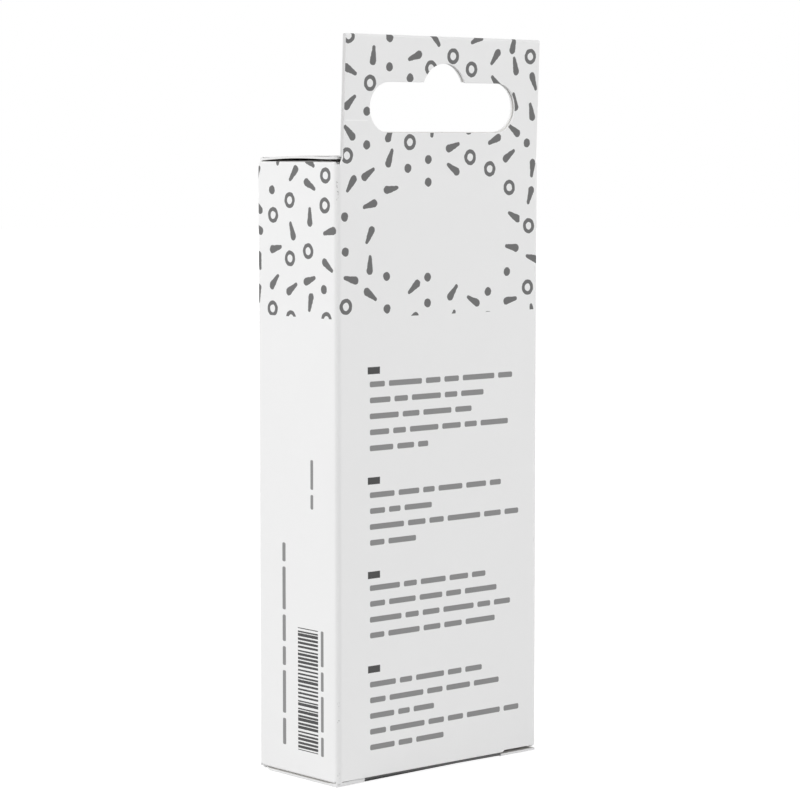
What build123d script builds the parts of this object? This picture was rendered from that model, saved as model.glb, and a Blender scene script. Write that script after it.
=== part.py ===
from build123d import *
import os
from math import cos, radians, sin, tan

# Folding carton with a hang tab, holding two sealing wax sticks with wicks.
# Millimetres, +Z up, origin at the middle of the underside, back panel and hang tab towards -Y.
# Each panel is a plate of one board. Where a panel folds on another, the carrying panel has a round
# crease bead of one board's radius, tangent to both outer faces, and the bead's axis is the fold's axis.

# Wax sticks and wicks
wax_diameter = 19.0
wax_length = 90.0
wax_top_round = 2.0
wax_bottom_round = 0.8
wick_diameter = 2.0
wick_stub = 8.5
wick_root = 3.0
wick_clearance = 0.02

# Board and creases
board = 0.4
crease_slit = 0.05
fold_radius = 0.9

# Room left around the sticks
stick_front_gap = 0.2
stick_tongue_gap = 0.1
stick_side_gap = 2.5
stick_middle_gap = 2.2
stick_seat_gap = 0.1
wick_headroom = 4.2

# Lids and tuck tongues
lid_gap = 0.3
lid_inset = 0.4
tongue_length = 6.5
tongue_lean = 5.0
tongue_side_gap = 0.7
tongue_corner = 3.0
tuck_gap = 0.13
tab_swing_gap = 0.45
shoulder_length = 7.0
slit_width = 0.2
lid_ease_length = 1.8
lid_ease_inset = 0.8

# Dust flaps
flap_length = 14.0
flap_front_gap = 1.0
flap_tongue_gap = 0.95
flap_front_taper = 28.0
flap_back_taper = 9.0
flap_corner = 1.2

# Back panel, hang tab and glue flap
panel_lift = 0.5
tab_height = 20.3
tab_lean = 2.2
tab_lid_gap = 0.2
slot_width = 33.0
slot_height = 8.4
slot_sill = 4.1
bump_radius = 5.0
bump_height = 3.2
glue_flap_width = 12.0
glue_flap_relief = 0.9
glue_flap_taper = 15.0
seam_gap = 0.6

# Outside of the carton, from what it holds
lean_run = tongue_length * sin(radians(tongue_lean))
carton_depth = (
    wax_diameter + stick_front_gap + stick_tongue_gap + lean_run + tuck_gap + 3 * board
)
carton_width = 2 * (wax_diameter + stick_side_gap + board) + stick_middle_gap
half_width = carton_width / 2
half_depth = carton_depth / 2
flat_x = half_width - fold_radius
flat_y = half_depth - fold_radius
fold_inner = fold_radius - board

# Fold axes
plate_start = board + crease_slit
hinge_y = half_depth - board
crease_x = half_width - board
bottom_lid_axis = board
bottom_flap_axis = bottom_lid_axis + lid_gap + board
wax_seat = bottom_flap_axis + stick_seat_gap
wick_tip = wax_seat + wax_length + wick_stub
top_flap_axis = wick_tip + wick_headroom
top_lid_axis = top_flap_axis + board + lid_gap
lid_top = top_lid_axis + board
top_tuck_y = -half_depth + 3 * board + tab_swing_gap
bottom_tuck_y = -half_depth + 2 * board + tuck_gap
stick_x = (wax_diameter + stick_middle_gap) / 2
stick_y = hinge_y - stick_front_gap - wax_diameter / 2


def save(piece, label):
    """Label a finished piece and write it under that name."""
    piece.part.label = label
    export_step(piece.part, f"parts/{label}.step")


os.makedirs("parts", exist_ok=True)

# Hang tab, which leans outwards from the level of the top lid
tab_sin = sin(radians(tab_lean))
tab_cos = cos(radians(tab_lean))
tab_length = (tab_height - board * (1 + tab_sin)) / tab_cos
tab_plane = Plane(origin=(0, -half_depth, lid_top), x_dir=(1, 0, 0), z_dir=(0, -tab_cos, -tab_sin))
tab_fold = tab_plane.from_local_coords((-flat_x, tab_length, -board))
tab_fold_plane = Plane(origin=tab_fold, x_dir=-tab_plane.z_dir, z_dir=(1, 0, 0))

# Euro slot, a round-ended slot with a centring bump, through both plies of the tab
with BuildSketch(tab_plane) as hang_slot:
    with Locations((0, slot_sill + slot_height / 2)):
        SlotOverall(slot_width, slot_height)
    with Locations((0, slot_sill + slot_height + bump_height - bump_radius)):
        Circle(bump_radius)

# Back panel, which bends at the top lid into the front ply of the tab
with BuildPart() as back_panel:
    with BuildSketch(Plane.YZ.offset(-flat_x)):
        panel_foot = bottom_lid_axis + panel_lift
        tab_edge = tab_plane.from_local_coords((0, tab_length, 0))
        Polygon(
            (-half_depth, panel_foot),
            (-half_depth, lid_top),
            (tab_edge.Y, tab_edge.Z),
            (tab_fold.Y, tab_fold.Z),
            (board - half_depth, lid_top + board * tan(radians(tab_lean / 2))),
            (board - half_depth, panel_foot),
            align=None,
        )
    extrude(amount=2 * flat_x)
    extrude(hang_slot.sketch, amount=2 * board, both=True, mode=Mode.SUBTRACT)
save(back_panel, "back_panel")

# Rear ply of the tab, with the round fold that caps both plies
with BuildPart() as hang_tab_backing:
    with BuildSketch(tab_plane.offset(-board)):
        with Locations((0, (tab_length + tab_lid_gap) / 2)):
            Rectangle(2 * flat_x, tab_length - tab_lid_gap)
    extrude(amount=-board)
    with BuildSketch(tab_fold_plane):
        with BuildLine():
            round_edge = CenterArc((0, 0), board, 0, 180)
            Line(round_edge @ 1, round_edge @ 0)
        make_face()
    extrude(amount=2 * flat_x)
    extrude(hang_slot.sketch, amount=3 * board, both=True, mode=Mode.SUBTRACT)
save(hang_tab_backing, "hang_tab_backing")

# Front panel, with the crease beads that both lids fold on
with BuildPart() as front_panel:
    front_width = 2 * flat_x - board
    with BuildSketch(Plane.XY.offset(bottom_lid_axis)):
        with Locations((-board / 2, half_depth - board / 2)):
            Rectangle(front_width, board)
    extrude(amount=top_lid_axis - bottom_lid_axis)
    with Locations((-board / 2, hinge_y, bottom_lid_axis), (-board / 2, hinge_y, top_lid_axis)):
        Cylinder(board, front_width, rotation=(0, 90, 0))
save(front_panel, "front_panel")

# Left side panel with its two upright folds, and the crease beads of its dust flaps
with BuildPart() as left_side_panel:
    with BuildSketch(Plane.XY.offset(bottom_flap_axis)):
        for side in (-1, 1):
            with BuildLine():
                outer = CenterArc((-flat_x, side * flat_y), fold_radius, 180, -90 * side)
                inner = CenterArc((-flat_x, side * flat_y), fold_inner, 180, -90 * side)
                Line(outer @ 0, inner @ 0)
                Line(outer @ 1, inner @ 1)
            make_face()
        with Locations((board / 2 - half_width, 0)):
            Rectangle(board, 2 * flat_y)
    extrude(amount=top_flap_axis - bottom_flap_axis)
    with Locations((-crease_x, 0, bottom_flap_axis), (-crease_x, 0, top_flap_axis)):
        Cylinder(board, 2 * flat_y, rotation=(90, 0, 0))
save(left_side_panel, "left_side_panel")

# Right side panel, folded on the back panel and glued over the glue flap at its cut front edge
with BuildPart() as right_side_panel:
    cut_edge_y = half_depth - seam_gap
    with BuildSketch(Plane.XY.offset(bottom_flap_axis)):
        with BuildLine():
            outer = CenterArc((flat_x, -flat_y), fold_radius, 270, 90)
            inner = CenterArc((flat_x, -flat_y), fold_inner, 270, 90)
            Line(outer @ 0, inner @ 0)
            Line(outer @ 1, inner @ 1)
        make_face()
        with Locations((half_width - board / 2, (cut_edge_y - flat_y) / 2)):
            Rectangle(board, cut_edge_y + flat_y)
    extrude(amount=top_flap_axis - bottom_flap_axis)
    with Locations((crease_x, 0, bottom_flap_axis), (crease_x, 0, top_flap_axis)):
        Cylinder(board, 2 * flat_y, rotation=(90, 0, 0))
save(right_side_panel, "right_side_panel")

# Glue flap, folded on the front panel and lying inside the right side panel
with BuildPart() as glue_flap:
    flap_bottom = bottom_flap_axis + glue_flap_relief
    flap_top = top_flap_axis - glue_flap_relief
    taper_drop = glue_flap_width * tan(radians(glue_flap_taper))
    with BuildSketch(Plane.XY.offset(flap_bottom)):
        with BuildLine():
            outer = CenterArc((flat_x - board, flat_y), fold_radius, 0, 90)
            inner = CenterArc((flat_x - board, flat_y), fold_inner, 0, 90)
            Line(outer @ 0, inner @ 0)
            Line(outer @ 1, inner @ 1)
        make_face()
    extrude(amount=flap_top - flap_bottom)
    with BuildSketch(Plane.YZ.offset(crease_x - board)):
        Polygon(
            (flat_y, flap_bottom),
            (flat_y, flap_top),
            (flat_y - glue_flap_width, flap_top - taper_drop),
            (flat_y - glue_flap_width, flap_bottom + taper_drop),
            align=None,
        )
    extrude(amount=board)
save(glue_flap, "glue_flap")

# The two tucked ends: (name, outward sign, lid axis, flap axis, tongue crease, shoulder edge)
ends = (
    ("top", 1, top_lid_axis, top_flap_axis, top_tuck_y, top_tuck_y - board),
    ("bottom", -1, bottom_lid_axis, bottom_flap_axis, bottom_tuck_y, -half_depth),
)
lid_half = half_width - lid_inset
slit_half = lid_half - shoulder_length
tongue_half = crease_x - board - tongue_side_gap
lean_sin = sin(radians(tongue_lean))
lean_cos = cos(radians(tongue_lean))

for end, up, lid_axis, flap_axis, tuck_y, shoulder_y in ends:
    # Lid, with two shoulders that the slits leave beside the tongue's crease
    lid_plane = Plane(origin=(0, 0, lid_axis), x_dir=(up, 0, 0), z_dir=(0, 0, up))
    with BuildPart() as lid:
        with BuildSketch(lid_plane):
            Polygon(
                (lid_ease_inset - lid_half, hinge_y - plate_start),
                (-lid_half, hinge_y - plate_start - lid_ease_length),
                (-lid_half, shoulder_y),
                (-slit_half, shoulder_y),
                (-slit_half, tuck_y),
                (slit_half, tuck_y),
                (slit_half, shoulder_y),
                (lid_half, shoulder_y),
                (lid_half, hinge_y - plate_start - lid_ease_length),
                (lid_half - lid_ease_inset, hinge_y - plate_start),
                align=None,
            )
        extrude(amount=board)
        with Locations((0, tuck_y, lid_axis)):
            Cylinder(board, 2 * (slit_half - slit_width), rotation=(0, 90, 0))
    save(lid, f"{end}_lid")

    # Tuck tongue, leaning in from its crease
    tongue_plane = Plane(
        origin=(0, tuck_y, lid_axis),
        x_dir=(0, lean_sin, -up * lean_cos),
        z_dir=(0, -lean_cos, -up * lean_sin),
    )
    with BuildPart() as tongue:
        with BuildSketch(tongue_plane) as tongue_outline:
            with Locations(((plate_start + tongue_length) / 2, 0)):
                Rectangle(tongue_length - plate_start, 2 * tongue_half)
            fillet(tongue_outline.vertices().group_by(Axis.X)[-1], tongue_corner)
        extrude(amount=board)
    save(tongue, f"{end}_tuck_tongue")

    # Dust flaps, cut back towards the lid's crease so that they can rise after the lid
    front_edge = hinge_y - flap_front_gap
    back_edge = top_tuck_y + flap_tongue_gap
    for name, side in (("left", -1), ("right", 1)):
        flap_plane = Plane(
            origin=(side * crease_x, 0, flap_axis),
            x_dir=(-side, 0, 0),
            z_dir=(0, 0, up),
        )
        hand = -side * up
        with BuildPart() as flap:
            with BuildSketch(flap_plane) as flap_outline:
                Polygon(
                    (plate_start, hand * front_edge),
                    (plate_start, hand * back_edge),
                    (flap_length, hand * (back_edge + flap_length * tan(radians(flap_back_taper)))),
                    (flap_length, hand * (front_edge - flap_length * tan(radians(flap_front_taper)))),
                    align=None,
                )
                fillet(flap_outline.vertices().group_by(Axis.X)[-1], flap_corner)
            extrude(amount=board)
        save(flap, f"{end}_{name}_dust_flap")

# Wax sticks, each cast around a wick that stands out at the top
for name, side in (("left", -1), ("right", 1)):
    stick_plane = Plane(origin=(side * stick_x, stick_y, wax_seat))
    wick_length = wax_length - wick_root + wick_stub
    with BuildPart() as wax_stick:
        with BuildSketch(stick_plane):
            Circle(wax_diameter / 2)
        extrude(amount=wax_length)
        fillet(wax_stick.edges().group_by(Axis.Z)[-1], wax_top_round)
        fillet(wax_stick.edges().group_by(Axis.Z)[0], wax_bottom_round)
        with BuildSketch(stick_plane.offset(wick_root)):
            Circle(wick_diameter / 2 + wick_clearance)
        extrude(amount=wax_length, mode=Mode.SUBTRACT)
    save(wax_stick, f"{name}_wax_stick")
    with BuildPart() as wick:
        with BuildSketch(stick_plane.offset(wick_root)):
            Circle(wick_diameter / 2)
        extrude(amount=wick_length)
    save(wick, f"{name}_wick")
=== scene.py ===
"""Looks of a hang-tab folding carton that holds two sealing wax sticks.

Every mesh is shaped in millimetres, in the model's own frame, and scaled to metres when it is done.
"""

import logging
import math
from dataclasses import dataclass, field
from enum import Enum
from functools import partial
from typing import Callable, Iterable, Sequence

import bmesh
import bpy
from bmesh.types import BMEdge, BMFace, BMVert
from bpy.types import Material, NodeSocket
from mathutils import Matrix, Vector


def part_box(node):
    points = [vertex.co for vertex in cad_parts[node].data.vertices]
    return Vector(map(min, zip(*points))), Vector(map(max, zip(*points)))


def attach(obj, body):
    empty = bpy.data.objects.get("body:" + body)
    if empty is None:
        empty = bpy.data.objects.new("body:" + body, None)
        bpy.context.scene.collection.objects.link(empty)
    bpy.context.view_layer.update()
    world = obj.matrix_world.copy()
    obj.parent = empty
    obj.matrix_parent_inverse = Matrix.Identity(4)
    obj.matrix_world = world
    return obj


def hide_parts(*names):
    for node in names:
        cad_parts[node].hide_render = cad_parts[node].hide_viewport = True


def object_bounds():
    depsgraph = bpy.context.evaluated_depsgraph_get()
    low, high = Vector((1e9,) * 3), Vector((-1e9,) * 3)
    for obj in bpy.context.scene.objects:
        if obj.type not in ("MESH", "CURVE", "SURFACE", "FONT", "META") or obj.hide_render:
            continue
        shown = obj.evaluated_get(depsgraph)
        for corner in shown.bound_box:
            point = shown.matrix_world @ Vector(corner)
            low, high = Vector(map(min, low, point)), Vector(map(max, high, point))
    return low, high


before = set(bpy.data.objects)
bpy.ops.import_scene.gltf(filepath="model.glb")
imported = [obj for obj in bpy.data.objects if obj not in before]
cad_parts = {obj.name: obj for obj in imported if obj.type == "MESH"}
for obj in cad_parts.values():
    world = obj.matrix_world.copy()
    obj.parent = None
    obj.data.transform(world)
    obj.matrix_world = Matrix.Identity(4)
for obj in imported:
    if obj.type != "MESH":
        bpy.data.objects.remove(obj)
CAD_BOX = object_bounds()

MM = 0.001  # metres in a millimetre
WELD = 0.0005  # millimetres within which two places count as one
SHARP = math.radians(40)  # least angle of an edge that is softened
CREASED = math.radians(55)  # least angle of an edge that is shaded sharp
SQUARE_ON = 0.9  # least cosine at which a face counts as square to a direction
FACING = 0.7  # least cosine at which a face counts as turned that way
LEANING = 0.5  # least cosine at which a rounded face still counts as turned that way
X_AXIS = (1, 0, 0)
Y_AXIS = (0, 1, 0)
Z_AXIS = (0, 0, 1)
PRINT_MAP = "print"
PLAIN_SHIFT = 300.0  # how far beside the print a plain piece lies on the print map
LOG = logging.getLogger("carton")

Point = Sequence[float]
Pair = tuple[float, float]
Place = tuple[float, float]
Colour = tuple[float, float, float, float]
Parts = list[BMVert | BMEdge | BMFace]


class Role(Enum):
    """Finishes of a board piece, by material slot."""

    PRINT = 0
    INSIDE = 1
    CUT = 2


class Wall(Enum):
    """Walls of the sleeve, which decide where a point lies when the sleeve is laid flat."""

    BACK = "back"
    LEFT = "left"
    FRONT = "front"
    RIGHT = "right"


class Move(Enum):
    """Steps of a wall's cross-section: round a fold, or straight along a flat."""

    FOLD = "fold"
    FLAT = "flat"


class Side(Enum):
    """Sides of the carton as the back panel shows them, with their sign in x."""

    LEFT = -1
    RIGHT = 1

    @property
    def word(self) -> str:
        """Return the side as the nodes' names spell it."""
        return self.name.lower()


class End(Enum):
    """Ends of the carton, with their sign in z."""

    TOP = 1
    BOTTOM = -1

    @property
    def word(self) -> str:
        """Return the end as the nodes' names spell it."""
        return self.name.lower()


FaceRule = Callable[[Vector, Vector], Role]
FlatRule = Callable[[Vector], Place]
PlaceTest = Callable[[Vector], bool]


def grey(value: float) -> Colour:
    """Return an opaque grey of that linear value."""
    return (value, value, value, 1.0)


def box_mm(node: str) -> tuple[Vector, Vector]:
    """Return a CAD node's lowest and highest corners in millimetres."""
    low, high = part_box(node)
    return low / MM, high / MM


def anywhere(point: Vector) -> bool:
    """Accept every place."""
    return True


def faced(outward: Vector, middle: Vector, normal: Vector) -> Role:
    """Print the faces that look outwards, bare those that look inwards and cut those between.

    Args:
        outward: direction of the printed side, of unit length.
        middle: the face's middle, which makes no difference here.
        normal: the face's normal.

    Returns:
        The face's finish.
    """
    lean = normal.dot(outward)
    if lean > FACING:
        return Role.PRINT
    return Role.INSIDE if lean < -FACING else Role.CUT


def plain_place(point: Vector) -> Place:
    """Lay a point where the print leaves the board white."""
    return point.x + PLAIN_SHIFT, point.y


class Signal:
    """A shader socket that takes part in Python arithmetic."""

    def __init__(self, graph: "Graph", socket: NodeSocket) -> None:
        """Hold an output socket of a graph."""
        self.graph = graph
        self.socket = socket

    def _math(self, operation: str, *values: "Value") -> "Signal":
        """Add a Math node that works on the values in order."""
        return self.graph.node("ShaderNodeMath", {"operation": operation}, dict(enumerate(values)))

    def __add__(self, other: "Value") -> "Signal":
        """Return the sum."""
        return self._math("ADD", self, other)

    def __radd__(self, other: float) -> "Signal":
        """Return the sum with a number on the left."""
        return self._math("ADD", other, self)

    def __sub__(self, other: "Value") -> "Signal":
        """Return the difference."""
        return self._math("SUBTRACT", self, other)

    def __rsub__(self, other: float) -> "Signal":
        """Return the difference from a number on the left."""
        return self._math("SUBTRACT", other, self)

    def __mul__(self, other: "Value") -> "Signal":
        """Return the product."""
        return self._math("MULTIPLY", self, other)

    def __rmul__(self, other: float) -> "Signal":
        """Return the product with a number on the left."""
        return self._math("MULTIPLY", other, self)

    def __truediv__(self, other: "Value") -> "Signal":
        """Return the quotient."""
        return self._math("DIVIDE", self, other)

    def __rtruediv__(self, other: float) -> "Signal":
        """Return a number on the left divided by this."""
        return self._math("DIVIDE", other, self)

    def __mod__(self, other: "Value") -> "Signal":
        """Return the remainder, never negative."""
        return self._math("FLOORED_MODULO", self, other)

    def __gt__(self, other: "Value") -> "Signal":
        """Return 1 where this is greater, otherwise 0."""
        return self._math("GREATER_THAN", self, other)

    def __lt__(self, other: "Value") -> "Signal":
        """Return 1 where this is less, otherwise 0."""
        return self._math("LESS_THAN", self, other)

    def __abs__(self) -> "Signal":
        """Return the size without its sign."""
        return self._math("ABSOLUTE", self)

    def apply(self, operation: str, *others: "Value") -> "Signal":
        """Return another Math operation, such as FLOOR, MINIMUM or COSINE."""
        return self._math(operation, self, *others)

    def within(self, low: float, high: float) -> "Signal":
        """Return 1 between two values, otherwise 0."""
        return (self > low) * (self < high)

    def clamped(self) -> "Signal":
        """Return the value held between 0 and 1."""
        return self.apply("MAXIMUM", 0.0).apply("MINIMUM", 1.0)


Value = Signal | float


def whole(value: Value) -> Value:
    """Round a number or a Signal to the nearest whole number, and to 1 at least.

    Args:
        value: what to round.

    Returns:
        The whole number, of the same kind.
    """
    if isinstance(value, Signal):
        return value.apply("ROUND").apply("MAXIMUM", 1.0)
    return max(float(math.floor(value + 0.5)), 1.0)


def sine(value: Value) -> Value:
    """Return the sine of a number or a Signal."""
    return value.apply("SINE") if isinstance(value, Signal) else math.sin(value)


class Graph:
    """The node tree of a material or a world, and the one place where its nodes are made."""

    def __init__(self, owner: Material | bpy.types.World) -> None:
        """Empty the owner's tree.

        Args:
            owner: the material or world that the tree belongs to.
        """
        owner.use_nodes = True
        self.owner = owner
        self.tree = owner.node_tree
        self.tree.nodes.clear()

    @classmethod
    def of_material(cls, name: str) -> "Graph":
        """Start a material of that name."""
        return cls(bpy.data.materials.new(name))

    @staticmethod
    def _pick(sockets: Iterable[NodeSocket], key: str | int) -> NodeSocket:
        """Find a socket.

        Args:
            sockets: the node's inputs or outputs.
            key: the socket's number, identifier or name.

        Returns:
            The socket.
        """
        listed = list(sockets)
        if isinstance(key, int):
            return listed[key]
        return next(s for s in listed if key in (s.identifier, s.name) and s.enabled)

    def node(
        self,
        kind: str,
        settings: dict[str, object] | None = None,
        sockets: dict[str | int, object] | None = None,
        output: str | int = 0,
    ) -> Signal | None:
        """Add a node.

        Args:
            kind: the node's type.
            settings: its properties, set first, where stops are a ramp's places and greys.
            sockets: a value or a Signal for each input, by number, identifier or name.
            output: the output to return.

        Returns:
            That output, or None where the node is the end of the tree.
        """
        made = self.tree.nodes.new(kind)
        for name, value in (settings or {}).items():
            if name == "stops":
                elements = made.color_ramp.elements
                while len(elements) < len(value):
                    elements.new(1.0)
                for element, (place, tone) in zip(elements, value):
                    element.position = place
                    element.color = grey(tone)
            elif name == "interpolation":
                made.color_ramp.interpolation = value
            else:
                setattr(made, name, value)
        for key, value in (sockets or {}).items():
            target = self._pick(made.inputs, key)
            if isinstance(value, Signal):
                self.tree.links.new(value.socket, target)
            else:
                target.default_value = value
        return Signal(self, self._pick(made.outputs, output)) if made.outputs else None

    def mix(self, factor: Signal, low: Signal | Colour, high: Signal | Colour) -> Signal:
        """Return a colour between two colours."""
        sockets = {"Factor_Float": factor, "A_Color": low, "B_Color": high}
        return self.node("ShaderNodeMix", {"data_type": "RGBA"}, sockets, "Result_Color")

    def noise(self, place: Signal, scale: float, detail: float = 3.0) -> Signal:
        """Return soft noise from 0 to 1 with that many waves to a unit of the place."""
        return self.node("ShaderNodeTexNoise", None, {"Vector": place, "Scale": scale, "Detail": detail})

    def place_mm(self, stretch: Point = (1.0, 1.0, 1.0)) -> Signal:
        """Find the object's own coordinates in millimetres.

        Args:
            stretch: how often each axis is counted.

        Returns:
            The place as a vector.
        """
        raw = self.node("ShaderNodeTexCoord", None, None, "Object")
        scale = tuple(share / MM for share in stretch)
        return self.node("ShaderNodeMapping", None, {"Vector": raw, "Scale": scale})

    def axis(self, place: Signal, number: int) -> Signal:
        """Return one coordinate of a vector."""
        return self.node("ShaderNodeSeparateXYZ", None, {0: place}, number)

    def bump(self, height: Signal, depth_mm: float) -> Signal:
        """Return a normal bent by a height from 0 to 1 that stands for that depth."""
        return self.node("ShaderNodeBump", None, {"Height": height, "Distance": depth_mm * MM})

    def surface(self, sockets: dict[str | int, object]) -> Material:
        """Finish the material with a Principled surface.

        Args:
            sockets: values and Signals for its inputs.

        Returns:
            The material.
        """
        shader = self.node("ShaderNodeBsdfPrincipled", None, sockets)
        self.node("ShaderNodeOutputMaterial", None, {"Surface": shader})
        return self.owner


@dataclass(frozen=True)
class Paragraph:
    """One block of stand-in copy: plain bars in rows, under a heavier bar."""

    heading: float
    first_row: float
    row_ends: tuple[float, ...]


@dataclass(frozen=True)
class SideRow:
    """One row of bars that runs up the side panel."""

    middle: float
    height: float
    low: float
    high: float


@dataclass(frozen=True)
class PrintLayout:
    """Where the print lies on the flat sleeve, in millimetres from the back panel's middle and the floor."""

    band_foot: float = 78.4
    margin: float = -16.4
    row_pitch: float = 2.68
    longest_row: float = 40.0
    bar_height: float = 0.95
    bar_corner: float = 0.6
    bar_edge: float = 0.06
    word_length: float = 5.6
    word_gap: float = 0.9
    word_spread: float = 0.5
    word_waves: float = 0.4
    row_seed: float = 3.37
    paragraph_seed: float = 7.1
    side_seed: float = 5.3
    first_side_seed: float = 0.4
    heading_size: Pair = (2.7, 1.2)
    paragraphs: tuple[Paragraph, ...] = (
        Paragraph(69.6, 67.3, (17.2, 10.4, 7.6, 16.2, -2.4)),
        Paragraph(51.1, 48.7, (14.6, -1.6, 18.8, -5.2)),
        Paragraph(35.2, 33.0, (11.0, 13.6, 16.9, 13.2)),
        Paragraph(19.2, 16.6, (10.2, 14.2, -1.0, 19.0, 1.2)),
    )
    stripes_low: Place = (-33.1, 4.9)
    stripes_high: Place = (-27.8, 25.9)
    stripe_pitch: float = 0.66
    stripe_least: float = 0.36
    stripe_spread: float = 0.5
    side_rows: tuple[SideRow, ...] = (
        SideRow(-36.75, 0.85, 4.8, 40.4),
        SideRow(-26.7, 0.7, 4.2, 26.4),
        SideRow(-29.3, 0.7, 45.8, 55.0),
    )

    def bars(
        self, along: Signal, across: Signal, start: float, stop: Value, half: float, seed: Value
    ) -> Signal:
        """Build a row of round-cornered bars of word length.

        Args:
            along: distance along the row.
            across: distance from the row's middle line.
            start: where the row starts.
            stop: where it stops.
            half: half the bars' height.
            seed: offset that makes each row's words its own.

        Returns:
            1 on a bar, 0 beside it.
        """
        length = stop - start
        share = (along - start) / length
        count = whole(length / self.word_length)
        waves = whole(count * self.word_waves)
        pull = count * self.word_spread
        phase = share * waves * math.tau + seed
        swing = pull / (waves * math.tau)
        word = share * count + (sine(phase) - sine(seed)) * swing
        part = word.apply("FRACT")
        speed = (count + pull * phase.apply("COSINE")) / length
        room = part.apply("MINIMUM", 1.0 - part) / speed - self.word_gap / 2
        room = room.apply("MINIMUM", along - start).apply("MINIMUM", stop - along)
        corner = half * self.bar_corner
        past_end = (corner - room).apply("MAXIMUM", 0.0)
        past_side = (abs(across) - (half - corner)).apply("MAXIMUM", 0.0)
        distance = (past_end * past_end + past_side * past_side).apply("SQRT") - corner
        return (0.5 - distance / self.bar_edge).clamped()

    def copy_mask(self, graph: Graph, u: Signal, v: Signal) -> Signal:
        """Build the bars that stand in for rows of copy on the back panel and the side.

        Args:
            graph: the material's graph.
            u: distance round the sleeve.
            v: height.

        Returns:
            1 on a bar, 0 beside it.
        """
        mask: Value = 0.0
        for number, paragraph in enumerate(self.paragraphs):
            count = len(paragraph.row_ends)
            depth = (paragraph.first_row - v) / self.row_pitch + 0.5
            row = depth.apply("FLOOR")
            across = (depth - row - 0.5) * self.row_pitch
            stops = [
                (place / count, (end - self.margin) / self.longest_row)
                for place, end in enumerate(paragraph.row_ends)
            ]
            ramp = {"interpolation": "CONSTANT", "stops": stops}
            reach = graph.node("ShaderNodeValToRGB", ramp, {0: (row + 0.5) / count})
            stop = graph.node("ShaderNodeSeparateColor", None, {0: reach}) * self.longest_row + self.margin
            seed = row * self.row_seed + number * self.paragraph_seed
            bars = self.bars(u, across, self.margin, stop, self.bar_height / 2, seed)
            mask = bars * depth.within(0.0, float(count)) + mask
        for number, line in enumerate(self.side_rows):
            seed = number * self.side_seed + self.first_side_seed
            mask = self.bars(v, u - line.middle, line.low, line.high, line.height / 2, seed) + mask
        return mask.clamped()

    def black_mask(self, graph: Graph, u: Signal, v: Signal) -> Signal:
        """Build the headings' bars and the block of stripes on the side.

        Args:
            graph: the material's graph.
            u: distance round the sleeve.
            v: height.

        Returns:
            1 on a heading or a stripe, 0 beside it.
        """
        wide, high = self.heading_size
        mask: Value = 0.0
        for paragraph in self.paragraphs:
            low = paragraph.heading - high / 2
            mask = u.within(self.margin, self.margin + wide) * v.within(low, low + high) + mask
        step = v / self.stripe_pitch
        number = step.apply("FLOOR")
        width = graph.node("ShaderNodeTexWhiteNoise", {"noise_dimensions": "1D"}, {"W": number}, "Value")
        stripe = (step - number) < self.stripe_least + self.stripe_spread * width
        block = u.within(self.stripes_low[0], self.stripes_high[0])
        block = block * v.within(self.stripes_low[1], self.stripes_high[1])
        return mask + block * stripe


@dataclass(frozen=True)
class Confetti:
    """A scatter of small dashes, rings and dots, one to a cell of a half-drop grid."""

    cell: Pair = (4.6, 5.0)
    jitter: Pair = (1.5, 1.7)
    clear_middle: Place = (1.2, 92.6)
    clear_half: Pair = (14.2, 6.8)
    dash_half: float = 1.1
    dash_radius: float = 0.5
    dash_taper: float = 0.16
    ring_radius: float = 1.0
    ring_half: float = 0.34
    dot_radius: float = 0.76
    dash_share: float = 0.55
    ring_share: float = 0.30
    wobble: float = 0.26
    edge: float = 0.05

    def mask(self, graph: Graph, u: Signal, v: Signal, place: Signal) -> Signal:
        """Build the scatter.

        Args:
            graph: the material's graph.
            u: distance round the sleeve.
            v: height.
            place: the same two as a vector.

        Returns:
            1 on a mark, 0 beside it.
        """
        across = u / self.cell[0]
        column = across.apply("FLOOR")
        along = v / self.cell[1] + (column % 2.0) * 0.5
        row = along.apply("FLOOR")
        cell = graph.node("ShaderNodeCombineXYZ", None, {0: column, 1: row})
        settings = {"noise_dimensions": "2D"}
        kind = graph.node("ShaderNodeTexWhiteNoise", settings, {"Vector": cell}, "Value")
        draws = graph.node("ShaderNodeTexWhiteNoise", settings, {"Vector": cell}, "Color")
        shift_x, shift_y, turn = (
            graph.node("ShaderNodeSeparateColor", None, {0: draws}, part) for part in range(3)
        )
        x = (across - column - 0.5) * self.cell[0] + (shift_x - 0.5) * self.jitter[0]
        y = (along - row - 0.5) * self.cell[1] + (shift_y - 0.5) * self.jitter[1]
        beside = abs(u - x - self.clear_middle[0]) > self.clear_half[0]
        above = abs(v - y - self.clear_middle[1]) > self.clear_half[1]
        angle = turn * math.tau
        cos_angle = angle.apply("COSINE")
        sin_angle = angle.apply("SINE")
        length = x * cos_angle + y * sin_angle
        width = y * cos_angle - x * sin_angle
        past_end = (abs(length) - self.dash_half).apply("MAXIMUM", 0.0)
        reach = (past_end * past_end + width * width).apply("SQRT")
        dash = reach - (self.dash_radius + length * self.dash_taper)
        radius = (x * x + y * y).apply("SQRT")
        ring = abs(radius - self.ring_radius) - self.ring_half
        dot = radius - self.dot_radius
        is_dash = kind < self.dash_share
        is_dot = kind > self.dash_share + self.ring_share
        distance = dash * is_dash + dot * is_dot + ring * (1.0 - is_dash - is_dot)
        distance = distance + (graph.noise(place, scale=1.3) - 0.5) * self.wobble
        return (0.5 - distance / self.edge).clamped() * (beside + above).clamped()


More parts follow.
